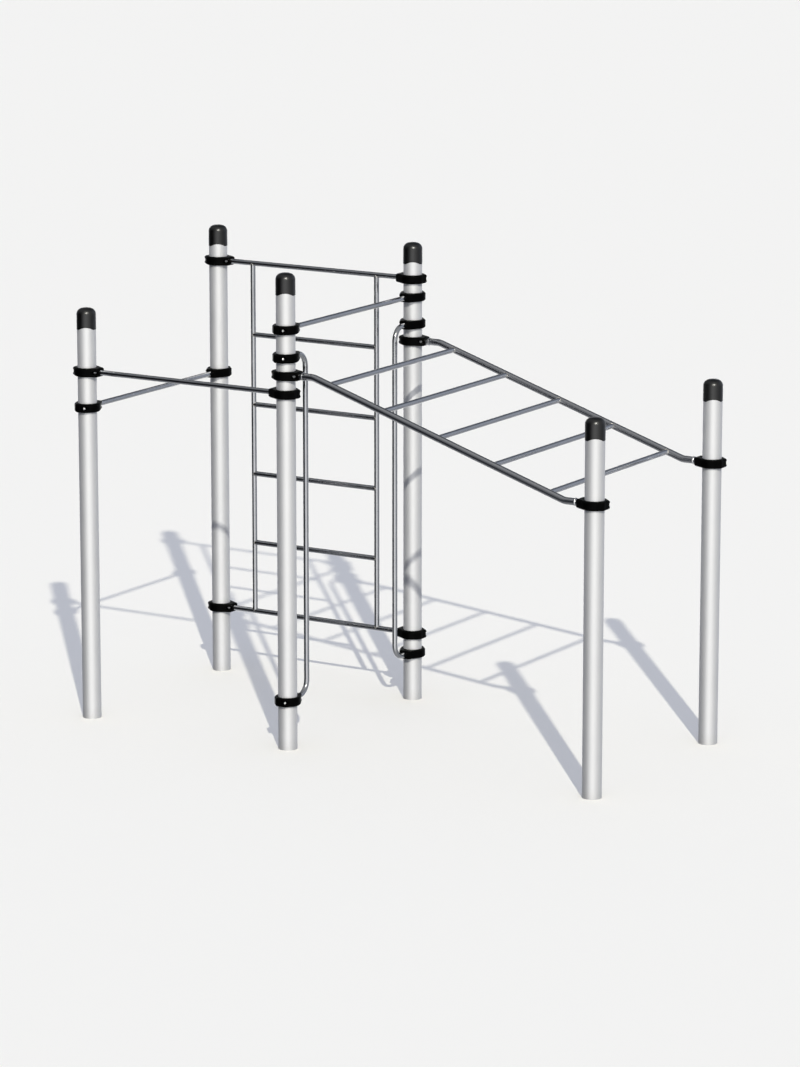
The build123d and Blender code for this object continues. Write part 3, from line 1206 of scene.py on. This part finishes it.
@dataclass
class Welds:
    """Weld beads round the tubes that butt against others."""

    bead: float = 1.9 * MM
    ripple: float = 0.14
    ripples: int = 22
    steps_round: int = 132
    steps_bead: int = 12

    def bead_skin(self, joint: Joint) -> Skin:
        """One bead on the saddle line of a joint.

        At the angle a round the tube, with e along the carrier's axis and f across both tubes,
        the line lies at r cos a e + r sin a f + s t, where t is the tube's run and
        s = sqrt(R^2 - (r sin a)^2) is the depth of the carrier's side there. The bead is a round
        section about that line, whose radius swells with cos(n a).

        Args:
            joint: The joint.

        Returns:
            A closed ring.
        """
        angle = round_steps(self.steps_round)
        run = np.array(joint.run)
        first = np.array(joint.carrier_axis)
        outward = np.outer(np.cos(angle), first) + np.outer(np.sin(angle), np.cross(run, first))
        across = joint.tube_radius * np.sin(angle)
        depth = np.sqrt(np.maximum(joint.carrier_radius**2 - across**2, 0))
        line = np.array(joint.centre) + joint.tube_radius * outward + np.outer(depth, run)
        tangent = np.roll(line, -1, axis=0) - np.roll(line, 1, axis=0)
        tangent /= np.linalg.norm(tangent, axis=1, keepdims=True)
        side = np.cross(tangent, outward)
        side /= np.linalg.norm(side, axis=1, keepdims=True)
        lift = np.cross(side, tangent)
        size = self.bead * (1 + self.ripple * np.cos(self.ripples * angle))
        turn = round_steps(self.steps_bead)[:, None]
        section = np.cos(turn) * lift[:, None] + np.sin(turn) * side[:, None]
        return lattice(line[:, None] + size[:, None, None] * section, True, True)

    def wall_joints(self) -> list[Joint]:
        """Finds the joints of the climbing wall: rungs to uprights, and uprights to rails.

        Returns:
            The joints, the left upright's first.
        """
        radius = Bars.bar_radius()
        right, upward = Vector((1, 0, 0)), Vector((0, 0, 1))
        rails = [middle_of("wall_bottom_rail"), middle_of("wall_top_rail")]
        joints = []
        for upright, way in (("wall_left_upright", right), ("wall_right_upright", -right)):
            post = middle_of(upright)
            for rung in nodes_named("wall_rung_"):
                centre = Vector((post.x, post.y, middle_of(rung).z))
                joints.append(Joint(centre, way, upward, radius, radius))
            for rail, climb in zip(rails, (upward, -upward)):
                centre = Vector((post.x, rail.y, rail.z))
                joints.append(Joint(centre, climb, right, radius, radius))
        return joints

    def ladder_joints(self) -> list[Joint]:
        """Finds the joints of the ladder: each rung to both rails.

        Returns:
            The joints, the front rail's first.
        """
        rungs = [middle_of(rung) for rung in nodes_named("ladder_rung_")]
        slope = (rungs[-1] - rungs[0]).normalized()
        radii = (Bars.bar_radius(), Bars.rail_radius())
        back = Vector((0, 1, 0))
        joints = []
        for rail, way in (("ladder_front_rail", back), ("ladder_back_rail", -back)):
            for rung in rungs:
                centre = Vector((rung.x, middle_of(rail).y, rung.z))
                joints.append(Joint(centre, way, slope, *radii))
        return joints

    def build(self, finish: Material) -> None:
        """Makes the beads of the wall and of the ladder.

        Args:
            finish: The weld metal.
        """
        joints = {"wall_welds": self.wall_joints(), "ladder_welds": self.ladder_joints()}
        for name, places in joints.items():
            mesh = joined([self.bead_skin(joint) for joint in places]).mesh(name)
            add_piece(name, mesh, finish)


@dataclass
class PhotoCamera:
    """Long lens that stands where the photograph was taken from."""

    yaw: float = radians(-31.603)
    pitch: float = radians(12.185)
    place: Triple = (12.8116, -20.7842, 6.4195)
    focal_pixels: float = 4408.0
    photo_height: float = 1067.0
    film_height: float = 36.0
    far_limit: float = 400.0

    def build(self) -> None:
        """Makes the camera and hands it to the scene."""
        right = Vector((cos(self.yaw), -sin(self.yaw), 0.0))
        level = Vector((sin(self.yaw), cos(self.yaw), 0.0))
        forward = level * cos(self.pitch) - Vector((0.0, 0.0, sin(self.pitch)))
        camera = bpy.data.cameras.new("photo_camera")
        camera.sensor_fit = "VERTICAL"
        camera.sensor_height = self.film_height
        camera.lens = self.focal_pixels * self.film_height / self.photo_height
        camera.clip_end = self.far_limit
        holder = stand("photo_camera", camera)
        turned = Matrix((right, right.cross(forward), -forward)).transposed().to_4x4()
        holder.matrix_world = Matrix.Translation(self.place) @ turned
        bpy.context.scene.camera = holder
        log.info("camera stands at %s", self.place)


@dataclass(frozen=True)
class Patch:
    """Soft lighter or darker patch of the reflector tent, in degrees as the station sees it."""

    turn: float
    rise: float
    turn_spread: float
    rise_spread: float
    gain: Colour


@dataclass
class ReflectorTent:
    """Grey ball far round the station, which only mirrored rays meet.

    Turns are counted from the camera's side, to the right as the camera sees it.
    """

    facing: float = 31.6
    radius: float = 60.0
    tone: Colour = (0.40, 0.405, 0.415)
    patches: tuple[Patch, ...] = (
        Patch(-8.0, -12.0, 23.5, 22.0, (0.98, 0.98, 0.98)),
        Patch(40.0, -12.0, 20.0, 24.0, (0.18, 0.18, 0.18)),
        Patch(-68.0, 0.0, 27.0, 31.0, (-0.50, -0.50, -0.50)),
        Patch(-128.0, -8.0, 26.0, 26.0, (-0.30, -0.30, -0.30)),
        Patch(92.0, -14.0, 26.0, 24.0, (-0.16, -0.16, -0.16)),
        Patch(122.0, 12.0, 26.0, 24.0, (0.09, 0.12, 0.18)),
        Patch(117.0, 22.0, 24.0, 14.0, (0.13, 0.13, 0.14)),
        Patch(166.0, 42.0, 42.0, 23.0, (-0.40, -0.40, -0.40)),
        Patch(180.0, -15.0, 22.0, 18.0, (0.75, 0.75, 0.74)),
    )
    brightest: float = 1.6
    columns: int = 120

    def tones(self, points: np.ndarray) -> np.ndarray:
        """Tone at each point: the even tone plus each patch's gain times a bell curve.

        Args:
            points: Array of rows by columns by 3.

        Returns:
            Array of rows by columns by 3 colours.
        """
        x, y, z = np.moveaxis(points, -1, 0)
        turn = np.degrees(np.arctan2(x, -y)) - self.facing
        rise = np.degrees(np.arctan2(z, np.hypot(x, y)))
        tones = np.ones((*x.shape, 1)) * np.array(self.tone)
        for patch in self.patches:
            away = ((turn - patch.turn + 180) % 360 - 180) / patch.turn_spread
            above = (rise - patch.rise) / patch.rise_spread
            tones += np.exp(-(away**2 + above**2) / 2)[..., None] * np.array(patch.gain)
        return np.clip(tones, 0.0, self.brightest)

    def build(self) -> None:
        """Makes the ball and writes its tones to its points."""
        climb = np.linspace(-pi / 2, pi / 2, self.columns // 2 + 1)[:, None]
        points = self.radius * rings(np.cos(climb), np.sin(climb), self.columns)
        mesh = lattice(points, False, True).mesh("reflector_tent")
        tones = np.concatenate([self.tones(points), np.ones((*points.shape[:2], 1))], axis=-1)
        layer = mesh.color_attributes.new("tone", "FLOAT_COLOR", "POINT")
        layer.data.foreach_set("color", tones.ravel())
        material, deck, glow = new_material("reflector_cloth", "ShaderNodeEmission")
        tone = deck.add("ShaderNodeAttribute", attribute_name="tone")
        deck.feed(glow.inputs["Color"], tone.outputs["Color"])
        mesh.materials.append(material)
        tent = stand("reflector_tent", mesh)
        for ray in ("camera", "diffuse", "transmission", "volume_scatter", "shadow"):
            setattr(tent, f"visible_{ray}", False)


@dataclass
class Studio:
    """Pale floor and background, room light from above and behind, one key light and the tent."""

    ground: Colour = (0.910, 0.884, 0.804)
    bounce: Colour = (0.15, 0.15, 0.15)
    background: Colour = (0.885, 0.885, 0.885)
    room: Colour = (0.10, 0.11, 0.14)
    overhead: Colour = (0.68, 0.744, 0.963)
    behind: Colour = (0.74, 0.72, 0.67)
    key_colour: Colour = (1.0, 0.976, 0.895)
    key_strength: float = 2.53
    key_angle: float = radians(0.8)
    key_direction: Triple = (0.522, -0.641, 0.563)
    up_direction: Triple = (0.0, 0.0, 1.0)
    back_direction: Triple = (-0.524, 0.852, 0.0)
    floor_half: float = 160.0
    floor_steps: int = 9

    def seen(self, deck: NodeDeck) -> Socket:
        """Picks out the rays from the camera and the mirrored and refracted ones.

        Args:
            deck: Nodes of a material or of the world.

        Returns:
            Socket that is 1 for those rays and 0 for all others.
        """
        rays = deck.add("ShaderNodeLightPath").outputs
        either = deck.reckon("MAXIMUM", rays["Is Camera Ray"], rays["Is Glossy Ray"])["Value"]
        return deck.reckon("MAXIMUM", either, rays["Is Transmission Ray"])["Value"]

    def floor(self) -> None:
        """Lays the floor, pale where it is seen and greyer where it throws light back.

        Mirrored rays pass through it and meet the lower half of the reflector tent.
        """
        side = np.linspace(-self.floor_half, self.floor_half, self.floor_steps)
        x, y = np.meshgrid(side, side)
        level = np.stack([x, y, np.zeros_like(x)], axis=-1)
        mesh = lattice(level, False, False).mesh("floor")
        material, deck, shader = new_material("floor_paint", "ShaderNodeBsdfDiffuse")
        colour = deck.blend(self.seen(deck), self.bounce, self.ground)
        deck.feed(shader.inputs["Color"], colour)
        mesh.materials.append(material)
        floor = stand("floor", mesh)
        floor.visible_glossy = False

    def lobe(self, deck: NodeDeck, direction: Triple, colour: Colour) -> Socket:
        """Room light that falls off with the square of the cosine about a direction.

        Args:
            deck: Nodes of the world.
            direction: Unit vector to the lobe's middle.
            colour: Light from that middle.

        Returns:
            Socket with the colour.
        """
        ray = deck.add("ShaderNodeTexCoord").outputs["Generated"]
        cosine = deck.reckon("DOT_PRODUCT", ray, direction, vectors=True)["Value"]
        upper = deck.reckon("MAXIMUM", cosine, 0.0)["Value"]
        square = deck.reckon("POWER", upper, 2.0)["Value"]
        return deck.blend(square, (0.0, 0.0, 0.0), colour)

    def world(self) -> None:
        """Fills the room with light, and shows the pale background to every seen ray.

        The light is even, plus a lobe from above and one from behind the station.
        """
        world = bpy.data.worlds.new("studio")
        bpy.context.scene.world = world
        world.use_nodes = True
        deck = NodeDeck(world.node_tree)
        above = self.lobe(deck, self.up_direction, self.overhead)
        behind = self.lobe(deck, self.back_direction, self.behind)
        lobes = deck.reckon("ADD", above, behind, vectors=True)["Vector"]
        light = deck.reckon("ADD", lobes, self.room, vectors=True)["Vector"]
        backdrop = deck.add("ShaderNodeBackground", {"Strength": 1.0})
        shown = deck.blend(self.seen(deck), light, self.background)
        deck.feed(backdrop.inputs["Color"], shown)
        deck.finish(backdrop, "ShaderNodeOutputWorld")

    def key_light(self) -> None:
        """Hangs the one distant lamp, which throws the station's shadow."""
        lamp = bpy.data.lights.new("key_light", "SUN")
        lamp.energy = self.key_strength
        lamp.angle = self.key_angle
        lamp.color = self.key_colour
        holder = stand("key_light", lamp)
        holder.rotation_euler = Vector(self.key_direction).to_track_quat("Z", "Y").to_euler()

    def build(self) -> None:
        """Sets up floor, room light, reflector tent and key light."""
        self.floor()
        self.world()
        ReflectorTent().build()
        self.key_light()
        log.info("studio is lit")


def main() -> None:
    """Builds the camera, the studio and the station in order."""
    logging.basicConfig(level=logging.INFO, format="%(name)s: %(message)s")
    bpy.context.scene.view_settings.view_transform = "Standard"
    PhotoCamera().build()
    Studio().build()
    posts = Posts()
    posts.build(PostPaint().make())
    Caps(posts).build(CapPlastic().make())
    screw_steel = ScrewSteel().make()
    Clamps(posts).build(ClampCoat().make(), screw_steel)
    Collars(posts).build(screw_steel)
    Bars().build()
    Welds().build(WeldSteel().make())


if __name__ == "__main__":
    main()
